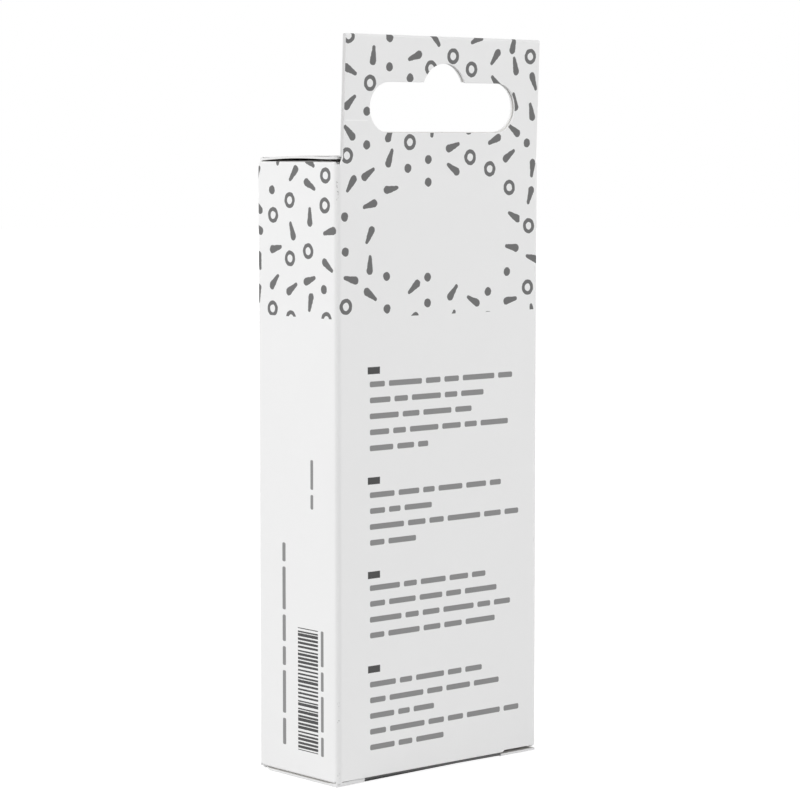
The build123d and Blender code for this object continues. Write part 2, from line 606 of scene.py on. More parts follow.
@dataclass(frozen=True)
class Wear:
    """Rubbed spots along the near fold, with a painted highlight as a pale hairline on the tab and painted
    shade as a dark band on the tucked edge.
    """

    fold: float = -22.75
    fold_reach: float = 0.28
    spots: tuple[Pair, ...] = ((99.6, 1.6), (14.0, 0.5), (11.2, 0.25), (2.0, 0.5))
    spot_level: float = 0.56
    spot_strength: float = 0.6
    spot_tone: float = 0.2
    # Painted highlight: a pale line across the tab, on a ridge that catches the light.
    hairline: Pair = (-21.4, -16.6)
    hairline_height: float = 111.1
    hairline_half: float = 0.09
    hairline_strength: float = 0.7
    hairline_tone: float = 0.98
    # Painted shade: a dark band along the bottom lid's tuck crease, where the recess under the back panel's
    # foot falls into shade.
    tuck: Pair = (-51.5, -48.7)
    tuck_strength: float = 0.92
    tuck_tone: float = 0.1

    def over(self, graph: Graph, colour: Signal, u: Signal, v: Signal, place: Signal) -> Signal:
        """Lay the wear, the painted highlight and the painted shade over a colour.

        Args:
            graph: the material's graph.
            colour: the clean colour.
            u: distance round the sleeve.
            v: height.
            place: place on the object in millimetres.

        Returns:
            The worn colour, with its painted highlight and painted shade.
        """
        near = (1.0 - abs(u - self.fold) / self.fold_reach).clamped()
        spots: Value = 0.0
        for middle, half in self.spots:
            spots = (abs(v - middle) < half) + spots
        rubbed = near * spots * (graph.noise(place, scale=2.6) > self.spot_level)
        colour = graph.mix(rubbed * self.spot_strength, colour, grey(self.spot_tone))
        # Painted shade along the bottom lid's tuck crease.
        colour = graph.mix(v.within(*self.tuck) * self.tuck_strength, colour, grey(self.tuck_tone))
        # Painted highlight on the tab's ridge.
        hairline = u.within(*self.hairline) * (abs(v - self.hairline_height) < self.hairline_half)
        return graph.mix(hairline * self.hairline_strength, colour, grey(self.hairline_tone))


@dataclass(frozen=True)
class PrintedBoard:
    """Coated white board with grey print, as on the outside of the carton."""

    white: float = 0.88
    white_spread: float = 0.015
    cloud_share: float = 0.6
    mark: float = 0.148
    mark_fade: float = 0.06
    copy: float = 0.28
    black: float = 0.085
    roughness: float = 0.72
    roughness_spread: float = 0.14
    mark_gloss: float = 0.05
    fibre_share: float = 0.3
    relief: float = 0.012
    specular: float = 0.15
    layout: PrintLayout = field(default_factory=PrintLayout)
    confetti: Confetti = field(default_factory=Confetti)
    wear: Wear = field(default_factory=Wear)

    def build(self) -> Material:
        """Build the material.

        Returns:
            The material, which reads the print map.
        """
        graph = Graph.of_material("printed_board")
        layout = self.layout
        flat = graph.node("ShaderNodeUVMap", {"uv_map": PRINT_MAP})
        u = graph.axis(flat, 0)
        v = graph.axis(flat, 1)
        place = graph.place_mm()
        fibre = graph.noise(place, scale=7.0, detail=5.0)
        cloud = graph.noise(place, scale=0.09, detail=2.0)
        wave = graph.noise(place, scale=0.35, detail=2.0)
        marks = self.confetti.mask(graph, u, v, flat) * (v > layout.band_foot)
        marks = marks * (1.0 - self.mark_fade + self.mark_fade * fibre)
        shade = cloud * self.cloud_share + fibre * (1.0 - self.cloud_share)
        colour = graph.mix(shade, grey(self.white - self.white_spread), grey(self.white + self.white_spread))
        colour = graph.mix(marks, colour, grey(self.mark))
        colour = graph.mix(layout.copy_mask(graph, u, v), colour, grey(self.copy))
        colour = graph.mix(layout.black_mask(graph, u, v), colour, grey(self.black))
        height = fibre * self.fibre_share + wave * (1.0 - self.fibre_share)
        return graph.surface({
            "Base Color": self.wear.over(graph, colour, u, v, place),
            "Roughness": self.roughness + (fibre - 0.5) * self.roughness_spread - marks * self.mark_gloss,
            "Normal": graph.bump(height, self.relief),
            "Specular IOR Level": self.specular,
        })


@dataclass(frozen=True)
class InsideBoard:
    """The uncoated inside of the board, with its fibres."""

    pale: Colour = (0.80, 0.788, 0.764, 1.0)
    dull: Colour = (0.70, 0.686, 0.658, 1.0)
    speck: float = 0.4
    speck_level: float = 0.69
    speck_strength: float = 0.25
    grain: Point = (1.0, 1.0, 0.35)
    roughness: float = 0.85
    roughness_spread: float = 0.1
    relief: float = 0.02
    specular: float = 0.2

    def build(self) -> Material:
        """Build the material.

        Returns:
            The material.
        """
        graph = Graph.of_material("inside_board")
        fibre = graph.noise(graph.place_mm(self.grain), scale=3.0, detail=6.0)
        specks = graph.noise(graph.place_mm(), scale=1.4, detail=2.0) > self.speck_level
        colour = graph.mix(fibre, self.dull, self.pale)
        return graph.surface({
            "Base Color": graph.mix(specks * self.speck_strength, colour, grey(self.speck)),
            "Roughness": self.roughness + (fibre - 0.5) * self.roughness_spread,
            "Normal": graph.bump(fibre, self.relief),
            "Specular IOR Level": self.specular,
        })


@dataclass(frozen=True)
class CutBoard:
    """The cut edge of the board, which shows its pulp, greyer on the tab's outer edges above the lid."""

    pale: float = 0.88
    dull: float = 0.78
    handled: float = 0.70
    handled_x: float = 20.0
    handled_z: float = 105.3
    grain: Point = (4.0, 4.0, 0.8)
    roughness: float = 0.9
    roughness_spread: float = 0.1
    relief: float = 0.03
    specular: float = 0.2

    def build(self) -> Material:
        """Build the material.

        Returns:
            The material.
        """
        graph = Graph.of_material("cut_board")
        pulp = graph.noise(graph.place_mm(self.grain), scale=2.2, detail=5.0)
        place = graph.place_mm()
        # The tab's outer edges above the lid are made greyer than the other cut edges.
        handled = (abs(graph.axis(place, 0)) > self.handled_x) * (graph.axis(place, 2) > self.handled_z)
        clean = graph.mix(pulp, grey(self.dull), grey(self.pale))
        return graph.surface({
            "Base Color": graph.mix(handled, clean, grey(self.handled)),
            "Roughness": self.roughness + (pulp - 0.5) * self.roughness_spread,
            "Normal": graph.bump(pulp, self.relief),
            "Specular IOR Level": self.specular,
        })


@dataclass(frozen=True)
class SealingWax:
    """Cast sealing wax, deep red with paler swirls of pigment and a dull bloom."""

    deep: Colour = (0.30, 0.008, 0.014, 1.0)
    bright: Colour = (0.52, 0.022, 0.026, 1.0)
    bloom: Colour = (0.60, 0.16, 0.15, 1.0)
    bloom_level: float = 0.52
    bloom_edge: float = 3.0
    bloom_strength: float = 0.22
    bloom_dullness: float = 0.5
    swirl_stretch: Point = (1.0, 1.0, 0.3)
    grain_share: float = 0.25
    roughness: float = 0.38
    roughness_spread: float = 0.16
    relief: float = 0.12
    glow: float = 0.12
    glow_radius: Point = (1.0, 0.12, 0.1)
    glow_depth: float = 1.2
    coat: float = 0.12
    coat_roughness: float = 0.3

    def build(self) -> Material:
        """Build the material.

        Returns:
            The material.
        """
        graph = Graph.of_material("sealing_wax")
        swirl = graph.noise(graph.place_mm(self.swirl_stretch), scale=0.22, detail=5.0)
        grain = graph.noise(graph.place_mm(), scale=2.4, detail=4.0)
        cloud = graph.noise(graph.place_mm(), scale=0.5, detail=6.0)
        bloom = ((cloud - self.bloom_level) * self.bloom_edge).clamped() * self.bloom_strength
        gloss = self.roughness + (grain - 0.5) * self.roughness_spread
        height = grain * self.grain_share + swirl * (1.0 - self.grain_share)
        return graph.surface({
            "Base Color": graph.mix(bloom, graph.mix(swirl, self.deep, self.bright), self.bloom),
            "Roughness": gloss + bloom * self.bloom_dullness,
            "Normal": graph.bump(height, self.relief),
            "Subsurface Weight": self.glow,
            "Subsurface Radius": self.glow_radius,
            "Subsurface Scale": self.glow_depth * MM,
            "Coat Weight": self.coat,
            "Coat Roughness": self.coat_roughness,
        })


@dataclass(frozen=True)
class CottonWick:
    """Twisted cotton yarn, a little waxed."""

    pale: Colour = (0.86, 0.82, 0.72, 1.0)
    dull: Colour = (0.62, 0.56, 0.46, 1.0)
    grain: Point = (3.0, 3.0, 0.7)
    roughness: float = 0.8
    roughness_spread: float = 0.2
    relief: float = 0.08
    sheen: float = 0.2

    def build(self) -> Material:
        """Build the material.

        Returns:
            The material.
        """
        graph = Graph.of_material("cotton_wick")
        fibre = graph.noise(graph.place_mm(self.grain), scale=2.8, detail=5.0)
        return graph.surface({
            "Base Color": graph.mix(fibre, self.dull, self.pale),
            "Roughness": self.roughness + (fibre - 0.5) * self.roughness_spread,
            "Normal": graph.bump(fibre, self.relief),
            "Sheen Weight": self.sheen,
        })


class Workpiece:
    """A mesh that is shaped in millimetres by operators."""

    def __init__(self) -> None:
        """Start an empty mesh."""
        self.bm = bmesh.new()

    def vertex(self, point: Point) -> BMVert:
        """Add one vertex."""
        return self.bm.verts.new(point)

    def join(self, *verts: BMVert) -> None:
        """Join the vertices with edges, in order."""
        for pair in zip(verts, verts[1:]):
            bmesh.ops.contextual_create(self.bm, geom=list(pair))

    def loop(self, points: Iterable[Point]) -> list[BMVert]:
        """Add a closed outline.

        Args:
            points: its corners, in order.

        Returns:
            Its vertices.
        """
        verts = [self.vertex(point) for point in points]
        self.join(*verts, verts[0])
        return verts

    def fill(self) -> None:
        """Fill a single outline with one face."""
        bmesh.ops.edgeloop_fill(self.bm, edges=self.bm.edges[:])

    def fill_holed(self, normal: Point) -> None:
        """Fill an outline that has a hole in it.

        Args:
            normal: direction in which the faces look.
        """
        bmesh.ops.triangle_fill(
            self.bm, edges=self.bm.edges[:], use_beauty=True, use_dissolve=False, normal=normal
        )

    def round_corners(self, verts: Sequence[BMVert], radius: float, steps: int = 6) -> None:
        """Round corners of a flat face.

        Args:
            verts: the corners.
            radius: distance from a corner to where its arc starts.
            steps: facets in an arc.
        """
        bmesh.ops.bevel(
            self.bm, geom=list(verts), offset=radius, offset_type="OFFSET", segments=steps,
            profile=0.5, affect="VERTICES", material=-1,
        )

    def turn(self, parts: Parts, centre: Point, axis: Point, degrees: float, steps: int) -> Parts:
        """Sweep parts of the mesh round an axis.

        Args:
            parts: vertices, edges or faces.
            centre: a point on the axis.
            axis: its direction.
            degrees: how far to sweep.
            steps: facets in the sweep.

        Returns:
            The swept end.
        """
        swept = bmesh.ops.spin(
            self.bm, geom=parts, cent=centre, axis=axis, dvec=(0, 0, 0),
            angle=math.radians(degrees), steps=steps, use_duplicate=False,
        )
        return swept["geom_last"]

    def twist(self, ring: Sequence[BMVert], centre: Point, rise: float, turns: float,
              steps: int) -> None:
        """Sweep a capped ring up a helix round an upright axis.

        Args:
            ring: the ring's vertices.
            centre: a point on the axis.
            rise: how far up it ends.
            turns: how often it goes round.
            steps: facets along it.
        """
        parts = dict.fromkeys(ring)
        for vert in ring:
            parts.update(dict.fromkeys((*vert.link_edges, *vert.link_faces)))
        bmesh.ops.spin(
            self.bm, geom=list(parts), cent=centre, axis=Z_AXIS, dvec=(0, 0, rise / steps),
            angle=math.tau * turns, steps=steps, use_duplicate=False,
        )

    def lathe(self, centre: Point, steps: int) -> None:
        """Turn the whole profile once round an upright axis.

        Args:
            centre: a point on the axis.
            steps: facets in the round.
        """
        bmesh.ops.spin(
            self.bm, geom=self.bm.verts[:] + self.bm.edges[:], cent=centre, axis=Z_AXIS,
            dvec=(0, 0, 0), angle=math.tau, steps=steps, use_merge=True, use_duplicate=False,
        )
        self.mend()

    def run(self, parts: Parts, offset: Point) -> Parts:
        """Extrude edges in a straight line.

        Args:
            parts: the edges, among other parts.
            offset: how far and which way.

        Returns:
            The far end's vertices and edges.
        """
        edges = [part for part in parts if isinstance(part, BMEdge)]
        made = bmesh.ops.extrude_edge_only(self.bm, edges=edges)["geom"]
        verts = [part for part in made if isinstance(part, BMVert)]
        bmesh.ops.translate(self.bm, verts=verts, vec=offset)
        rim = set(verts)
        ends = [part for part in made if isinstance(part, BMEdge) and rim.issuperset(part.verts)]
        return verts + ends

    def thicken(self, offset: Point) -> None:
        """Extrude every face into a closed solid.

        Args:
            offset: how far and which way.
        """
        made = bmesh.ops.extrude_face_region(self.bm, geom=self.bm.faces[:])["geom"]
        verts = [part for part in made if isinstance(part, BMVert)]
        bmesh.ops.translate(self.bm, verts=verts, vec=offset)
        self.mend()

    def mend(self) -> None:
        """Merge doubles and turn the faces outwards."""
        bmesh.ops.remove_doubles(self.bm, verts=self.bm.verts[:], dist=WELD)
        bmesh.ops.recalc_face_normals(self.bm, faces=self.bm.faces[:])

    def bead(self, outward: Point, crease: Point, axis: Point, degrees: float, steps: int = 10,
             inside: PlaceTest = anywhere) -> None:
        """Roll an end of the board round a crease line.

        Args:
            outward: direction in which the end's faces look.
            crease: a point on the crease, in the plane of the end.
            axis: the crease's direction.
            degrees: how far to roll.
            steps: facets in the roll.
            inside: a test that every corner of a rolled face passes.
        """
        way = Vector(outward)
        level = Vector(crease)
        parts = {}
        for face in self.bm.faces:
            square = face.normal.dot(way) > SQUARE_ON
            in_plane = abs((face.calc_center_median() - level).dot(way)) < WELD
            if square and in_plane and all(inside(vert.co) for vert in face.verts):
                parts.update(dict.fromkeys((face, *face.edges, *face.verts)))
        self.turn(list(parts), crease, axis, degrees, steps)
        self.mend()

    def cut(self, axis: Point, places: Iterable[float]) -> None:
        """Cut the mesh across an axis, without taking anything away.

        Args:
            axis: the axis, square to each cut.
            places: where the cuts lie on it.
        """
        for place in places:
            parts = self.bm.verts[:] + self.bm.edges[:] + self.bm.faces[:]
            bmesh.ops.bisect_plane(
                self.bm, geom=parts, dist=WELD, plane_co=Vector(axis) * place, plane_no=axis
            )

    def soften(self, width: float, keep: PlaceTest = anywhere) -> None:
        """Bevel the sharp edges.

        Args:
            width: the bevel's width.
            keep: a test that the middle of each bevelled edge passes.
        """
        edges = [
            edge for edge in self.bm.edges
            if edge.is_manifold and edge.calc_face_angle() > SHARP
            and keep((edge.verts[0].co + edge.verts[1].co) / 2)
        ]
        bmesh.ops.bevel(
            self.bm, geom=edges, offset=width, offset_type="OFFSET", segments=2, profile=0.5,
            affect="EDGES", clamp_overlap=True, material=-1,
        )

    def move(self, matrix: Matrix) -> None:
        """Move the whole mesh by a matrix."""
        bmesh.ops.transform(self.bm, matrix=matrix, verts=self.bm.verts[:])

    def to_object(self, name: str, materials: Sequence[Material]) -> bpy.types.Object:
        """Scale the mesh to metres and make it an object at the origin.

        Args:
            name: the piece's name.
            materials: its material slots.

        Returns:
            The object.
        """
        bmesh.ops.scale(self.bm, vec=(MM, MM, MM), verts=self.bm.verts[:])
        for face in self.bm.faces:
            face.smooth = True
        mesh = bpy.data.meshes.new(name)
        self.bm.to_mesh(mesh)
        self.bm.free()
        mesh.set_sharp_from_angle(angle=CREASED)
        for material in materials:
            mesh.materials.append(material)
        made = bpy.data.objects.new(name, mesh)
        bpy.context.scene.collection.objects.link(made)
        shading = made.modifiers.new("even_shading", "WEIGHTED_NORMAL")
        shading.keep_sharp = True
        return made


@dataclass(frozen=True)
class BoardFinishes:
    """The three finishes that every board piece carries."""

    printed: Material
    inside: Material
    cut: Material

    @classmethod
    def mixed(cls) -> "BoardFinishes":
        """Build the three materials."""
        return cls(PrintedBoard().build(), InsideBoard().build(), CutBoard().build())

    def dress(self, work: Workpiece, name: str, body: str, role: FaceRule, flat: FlatRule) -> None:
        """Give a board piece its finishes and its print map, and let it ride on its body.

        Args:
            work: the shaped piece.
            name: the CAD node that it stands for, which gives the piece its name.
            body: the CAD body that carries it.
            role: finish of a face with that middle and normal.
            flat: place of a point on the flat print.
        """
        layer = work.bm.loops.layers.uv.new(PRINT_MAP)
        for face in work.bm.faces:
            face.material_index = role(face.calc_center_median(), face.normal).value
            for corner in face.loops:
                corner[layer].uv = flat(corner.vert.co)
        made = work.to_object(f"{name}_board", (self.printed, self.inside, self.cut))
        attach(made, body)
        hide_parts(name)
        LOG.info("%s: %d faces, rides on %s", made.name, len(made.data.polygons), body)


@dataclass(frozen=True)
class HangSlot:
    """Round-ended slot with a centring bump, measured up the tab from the lid's level."""

    width: float = 33.0
    height: float = 8.4
    sill: float = 4.1
    bump_radius: float = 5.0
    bump_height: float = 3.2
    shift: float = 0.35
    steps: int = 18

    def draw(self, work: Workpiece, y: float, foot: float, slip: Pair = (0.0, 0.0)) -> None:
        """Draw the slot's outline.

        Args:
            work: the piece that takes the outline.
            y: the plane that it lies in.
            foot: height of the tab's foot.
            slip: how far the cut has slipped across and up.
        """
        radius = self.height / 2
        reach = self.width / 2 - radius
        middle = foot + self.sill + radius + slip[1]
        centre_x = self.shift + slip[0]
        top = middle + radius
        bump_middle = top + self.bump_height - self.bump_radius
        rise = math.asin((top - bump_middle) / self.bump_radius)
        bump_half = self.bump_radius * math.cos(rise)
        left = centre_x - reach
        right = centre_x + reach
        arcs = (
            ((left, y, middle - radius), (left, y, middle), 180.0),
            ((centre_x - bump_half, y, top), (centre_x, y, bump_middle), 180.0 - 2 * math.degrees(rise)),
            ((right, y, top), (right, y, middle), 180.0),
        )
        ends = []
        for start, centre, degrees in arcs:
            first = work.vertex(start)
            last = work.turn([first], centre, Y_AXIS, degrees, self.steps)[-1]
            ends.append((first, last))
        for (_, last), (first, _) in zip(ends, ends[1:] + ends[:1]):
            work.join(last, first)


@dataclass
class Sleeve:
    """The folded wall of the carton and its hang tab."""

    half_width: float
    half_depth: float
    fold_radius: float
    board: float
    flap_low: float
    flap_high: float
    lid_low: float
    lid_high: float
    panel_foot: float
    lid_top: float
    tab_top: float
    tab_foot: float
    tab_lean: float
    seam_y: float
    glue_reach: float
    glue_low: float
    glue_high: float
    slot: HangSlot = field(default_factory=HangSlot)
    tab_edges: Pair = (-21.68, 22.38)
    tab_skew: float = 0.2
    ply_slip: Pair = (-0.3, 0.12)
    foot_slope: float = 0.16
    step_x: float = 14.8
    step_run: float = 0.4
    step_rise: float = 0.31
    foot_drop: float = 0.13
    seam_reach: float = 0.38
    fold_steps: int = 10
    soft: float = 0.05
    glue_taper: float = 15.0
    bare_lean: float = 0.3

    @classmethod
    def measured(cls) -> "Sleeve":
        """Read the sleeve's sizes from the frame.

        Returns:
            The sleeve.
        """
        left_low, left_high = box_mm("left_side_panel")
        back_low, back_high = box_mm("back_panel")
        front_low, front_high = box_mm("front_panel")
        rear_low, rear_high = box_mm("hang_tab_backing")
        flap_low, flap_high = box_mm("top_left_dust_flap")
        glue_low, glue_high = box_mm("glue_flap")
        board = flap_high.z - flap_low.z
        lid_top = front_high.z
        lean = math.atan2(left_low.y - back_low.y, back_high.z - lid_top)
        return cls(
            half_width=-left_low.x,
            half_depth=left_high.y,
            fold_radius=left_high.x - left_low.x,
            board=board,
            flap_low=left_low.z + board,
            flap_high=left_high.z - board,
            lid_low=front_low.z + board,
            lid_high=lid_top - board,
            panel_foot=back_low.z,
            lid_top=lid_top,
            tab_top=rear_high.z,
            tab_foot=rear_low.z,
            tab_lean=math.degrees(lean),
            seam_y=box_mm("right_side_panel")[1].y + cls.seam_reach,
            glue_reach=glue_low.y,
            glue_low=glue_low.z,
            glue_high=glue_high.z,
        )

    @property
    def flat_x(self) -> float:
        """Half the width between the folds."""
        return self.half_width - self.fold_radius

    @property
    def flat_y(self) -> float:
        """Half the depth between the folds."""
        return self.half_depth - self.fold_radius

    @property
    def crease_x(self) -> float:
        """Distance of the dust flaps' creases from the middle."""
        return self.half_width - self.board

    @property
    def hinge_y(self) -> float:
        """Distance of the lids' creases from the middle."""
        return self.half_depth - self.board

    @property
    def side_foot(self) -> float:
        """Height at which the side walls end and their lower beads begin."""
        return self.flap_low - self.foot_drop

    @property
    def tab_head(self) -> float:
        """Height of the tab's front ply below its top fold, before the tab leans."""
        lean = math.radians(self.tab_lean)
        height = self.tab_top - self.lid_top
        return self.lid_top + (height - self.board * (1 + math.sin(lean))) / math.cos(lean)

    def along_side(self, side: Side, point: Vector) -> float:
        """Measure from the back panel's edge round the fold and along a side wall.

        Args:
            side: the wall's side.
            point: a point of the wall.

        Returns:
            The distance to the point.
        """
        quarter = self.fold_radius * math.pi / 2
        out = max(side.value * point.x - self.flat_x, 0.0)
        if point.y < -self.flat_y:
            return self.fold_radius * math.atan2(out, -self.flat_y - point.y)
        if point.y > self.flat_y:
            turned = math.atan2(point.y - self.flat_y, out)
            return quarter + 2 * self.flat_y + self.fold_radius * turned
        return quarter + point.y + self.flat_y

    def flat_place(self, wall: Wall, point: Vector) -> Place:
        """Find where a point lies when the sleeve is laid flat.

        Args:
            wall: the wall that the point is on.
            point: the point.

        Returns:
            Its place round the sleeve and its height.
        """
        if wall is Wall.BACK:
            return point.x, point.z
        if wall is Wall.FRONT:
            folds = self.fold_radius * math.pi
            return -self.flat_x - folds - 2 * self.flat_y - (point.x + self.flat_x), point.z
        side = Side.LEFT if wall is Wall.LEFT else Side.RIGHT
        return side.value * (self.flat_x + self.along_side(side, point)), point.z

    def wall_role(self, middle: Vector, normal: Vector) -> Role:
        """Choose the finish of a face of a wall or of its folds and beads.

        Args:
            middle: the face's middle.
            normal: its normal.

        Returns:
            The finish, by whether the face looks away from the carton's core or towards it.
        """
        core = Vector((
            max(-self.flat_x, min(self.flat_x, middle.x)),
            max(-self.flat_y, min(self.flat_y, middle.y)),
            max(self.flap_low, min(self.flap_high, middle.z)),
        ))
        lean = normal.dot((middle - core).normalized())
        if lean > FACING:
            return Role.PRINT
        return Role.INSIDE if lean < -self.bare_lean else Role.CUT

    def tab_role(self, middle: Vector, normal: Vector) -> Role:
        """Choose the finish of a face of the tab's rear ply, which is printed behind and over its fold.

        Args:
            middle: the face's middle.
            normal: its normal.

        Returns:
            The finish.
        """
        if abs(normal.x) > LEANING:
            return Role.CUT
        if middle.z > self.tab_top - 2 * self.board or normal.y > FACING:
            return Role.PRINT
        return Role.INSIDE if normal.y < -FACING else Role.CUT

    def lean_tab(self, work: Workpiece) -> None:
        """Skew the tab's head a little and tip what stands above the lid outwards.

        Args:
            work: a ply of the tab, still upright.
        """
        left, right = self.tab_edges
        head = self.tab_head - 2 * self.soft
        for vert in work.bm.verts:
            if vert.co.z > head:
                vert.co.z -= self.tab_skew * (vert.co.x - left) / (right - left)
        bmesh.ops.rotate(
            work.bm,
            cent=(0, -self.half_depth, self.lid_top),
            matrix=Matrix.Rotation(math.radians(self.tab_lean), 3, "X"),
            verts=[vert for vert in work.bm.verts if vert.co.z > self.lid_top + WELD],
        )

    def back_panel(self) -> Workpiece:
        """Shape the back panel with the front ply of the tab.

        Returns:
            The panel, whose lower edge slopes and steps up beside the right shoulder of the lid.
        """
        work = Workpiece()
        y = -self.half_depth
        foot = self.panel_foot
        head = self.tab_head
        left, right = self.tab_edges
        slope = self.foot_slope / (2 * self.flat_x)
        step_foot = foot - slope * (self.step_x + self.flat_x)
        outline = (
            (-self.flat_x, foot), (self.step_x, step_foot),
            (self.step_x + self.step_run, step_foot + self.step_rise),
            (self.flat_x, foot + self.step_rise - self.foot_slope), (self.flat_x, self.flap_high),
            (right, self.lid_top), (right, head), (left, head), (left, self.lid_top),
            (-self.flat_x, self.flap_high),
        )
        work.loop((x, y, z) for x, z in outline)
        self.slot.draw(work, y, self.lid_top)
        work.fill_holed((0, -1, 0))
        work.thicken((0, self.board, 0))
        work.cut(Z_AXIS, (self.lid_top,))
        lower = foot + self.step_rise
        work.soften(self.soft, lambda m: m.z < lower or self.lid_top + WELD < m.z < head - WELD)
        self.lean_tab(work)
        return work

    def hang_tab_backing(self) -> Workpiece:
        """Shape the rear ply of the tab with the fold that caps both plies.

        Returns:
            The ply.
        """
        work = Workpiece()
        y = self.board - self.half_depth
        foot = self.tab_foot
        head = self.tab_head
        left, right = self.tab_edges
        work.loop(((left, y, foot), (right, y, foot), (right, y, head), (left, y, head)))
        self.slot.draw(work, y, self.lid_top, self.ply_slip)
        work.fill_holed((0, -1, 0))
        work.thicken((0, self.board, 0))
        work.bead(Z_AXIS, (0, y, head), X_AXIS, 180.0)
        work.soften(self.soft, lambda m: m.z < head - WELD)
        self.lean_tab(work)
        return work

    def upright_strip(self, side: Side, moves: Sequence[tuple[Move, float]]) -> Workpiece:
        """Shape a side wall from its folds and flats, starting at the back panel.

        Args:
            side: the wall's side.
            moves: a fold with its direction in y, or a flat with its end in y.

        Returns:
            The wall, without beads.
        """
        work = Workpiece()
        x = side.value * self.flat_x
        z = self.side_foot
        start = (work.vertex((x, -self.half_depth, z)), work.vertex((x, self.board - self.half_depth, z)))
        work.join(*start)
        parts: Parts = [*start, *work.bm.edges]
        y = -self.flat_y
        for move, value in moves:
            if move is Move.FOLD:
                middle = (x, value * self.flat_y, z)
                parts = work.turn(parts, middle, Z_AXIS, side.value * 90.0, self.fold_steps)
            else:
                parts = work.run(parts, (0, value - y, 0))
                y = value
        work.thicken((0, 0, self.flap_high - z))
        for vert in work.bm.verts:
            corner = abs(vert.co.y) > self.flat_y + self.board / 2
            if corner and vert.co.z < z + WELD and (side is Side.LEFT or vert.co.y > 0):
                vert.co.z -= self.board
        return work

    def flap_beads(self, work: Workpiece, side: Side) -> None:
        """Roll the wall's head and foot into the creases of its dust flaps.

        Args:
            work: the wall.
            side: its side.
        """
        edge = self.flat_y + WELD
        for end, z in ((End.TOP, self.flap_high), (End.BOTTOM, self.side_foot)):
            work.bead(
                (0, 0, end.value), (side.value * self.crease_x, 0, z), Y_AXIS,
                -side.value * end.value * 180.0, inside=lambda point: abs(point.y) < edge,
            )

    def left_side_panel(self) -> Workpiece:
        """Shape the left wall with its two folds and its beads.

        Returns:
            The wall.
        """
        work = self.upright_strip(Side.LEFT, ((Move.FOLD, -1), (Move.FLAT, self.flat_y), (Move.FOLD, 1)))
        self.flap_beads(work, Side.LEFT)
        work.soften(self.soft, lambda m: abs(m.y) > self.flat_y + WELD and abs(m.x) > self.flat_x + WELD)
        return work

    def right_side_panel(self) -> Workpiece:
        """Shape the right wall, which folds on the back panel and ends in the glued edge.

        Returns:
            The wall.
        """
        moves = ((Move.FOLD, -1), (Move.FLAT, self.flat_y), (Move.FLAT, self.seam_y))
        work = self.upright_strip(Side.RIGHT, moves)
        self.flap_beads(work, Side.RIGHT)
        work.soften(self.soft, lambda m: m.y > self.flat_y + WELD
                    or m.y < -self.flat_y - WELD and m.x > self.flat_x + WELD)
        return work

    def front_panel(self) -> Workpiece:
        """Shape the front wall with the beads that both lids fold on.

        Returns:
            The wall.
        """
        work = Workpiece()
        left = -self.flat_x
        right = self.flat_x - self.board
        outline = (
            (left, self.lid_low), (right, self.lid_low), (right, self.lid_high), (left, self.lid_high),
        )
        work.loop((x, self.half_depth, z) for x, z in outline)
        work.fill()
        work.thicken((0, -self.board, 0))
        for end, z in ((End.TOP, self.lid_high), (End.BOTTOM, self.lid_low)):
            work.bead((0, 0, end.value), (0, self.hinge_y, z), X_AXIS, end.value * 180.0)
        return work

    def glue_flap(self) -> Workpiece:
        """Shape the glue flap, which folds on the front wall and lies inside the right one.

        Returns:
            The flap.
        """
        work = Workpiece()
        x = self.flat_x - self.board
        z = self.glue_low
        start = (work.vertex((x, self.half_depth, z)), work.vertex((x, self.hinge_y, z)))
        work.join(*start)
        parts = work.turn([*start, *work.bm.edges], (x, self.flat_y, z), Z_AXIS, -90.0, self.fold_steps)
        work.run(parts, (0, self.glue_reach - self.flat_y, 0))
        work.thicken((0, 0, self.glue_high - z))
        drop = (self.flat_y - self.glue_reach) * math.tan(math.radians(self.glue_taper))
        for vert in work.bm.verts:
            is_foot = vert.co.z < z + WELD
            if vert.co.y < self.glue_reach + WELD:
                vert.co.z += drop if is_foot else -drop
            elif vert.co.y > self.flat_y + WELD:
                vert.co.z = self.side_foot if is_foot else self.flap_high
        work.soften(self.soft, lambda m: m.y < self.flat_y - WELD)
        return work

    def build(self, finishes: BoardFinishes) -> None:
        """Build every wall and dress it.

        Args:
            finishes: the board's finishes.
        """
        walls = (
            ("back_panel", self.back_panel, Wall.BACK, partial(faced, Vector((0, -1, 0)))),
            ("hang_tab_backing", self.hang_tab_backing, Wall.BACK, self.tab_role),
            ("left_side_panel", self.left_side_panel, Wall.LEFT, self.wall_role),
            ("front_panel", self.front_panel, Wall.FRONT, self.wall_role),
            ("right_side_panel", self.right_side_panel, Wall.RIGHT, self.wall_role),
            ("glue_flap", self.glue_flap, Wall.RIGHT, lambda middle, normal: Role.INSIDE),
        )
        for name, shape, wall, role in walls:
            finishes.dress(shape(), name, "sleeve", role, partial(self.flat_place, wall))


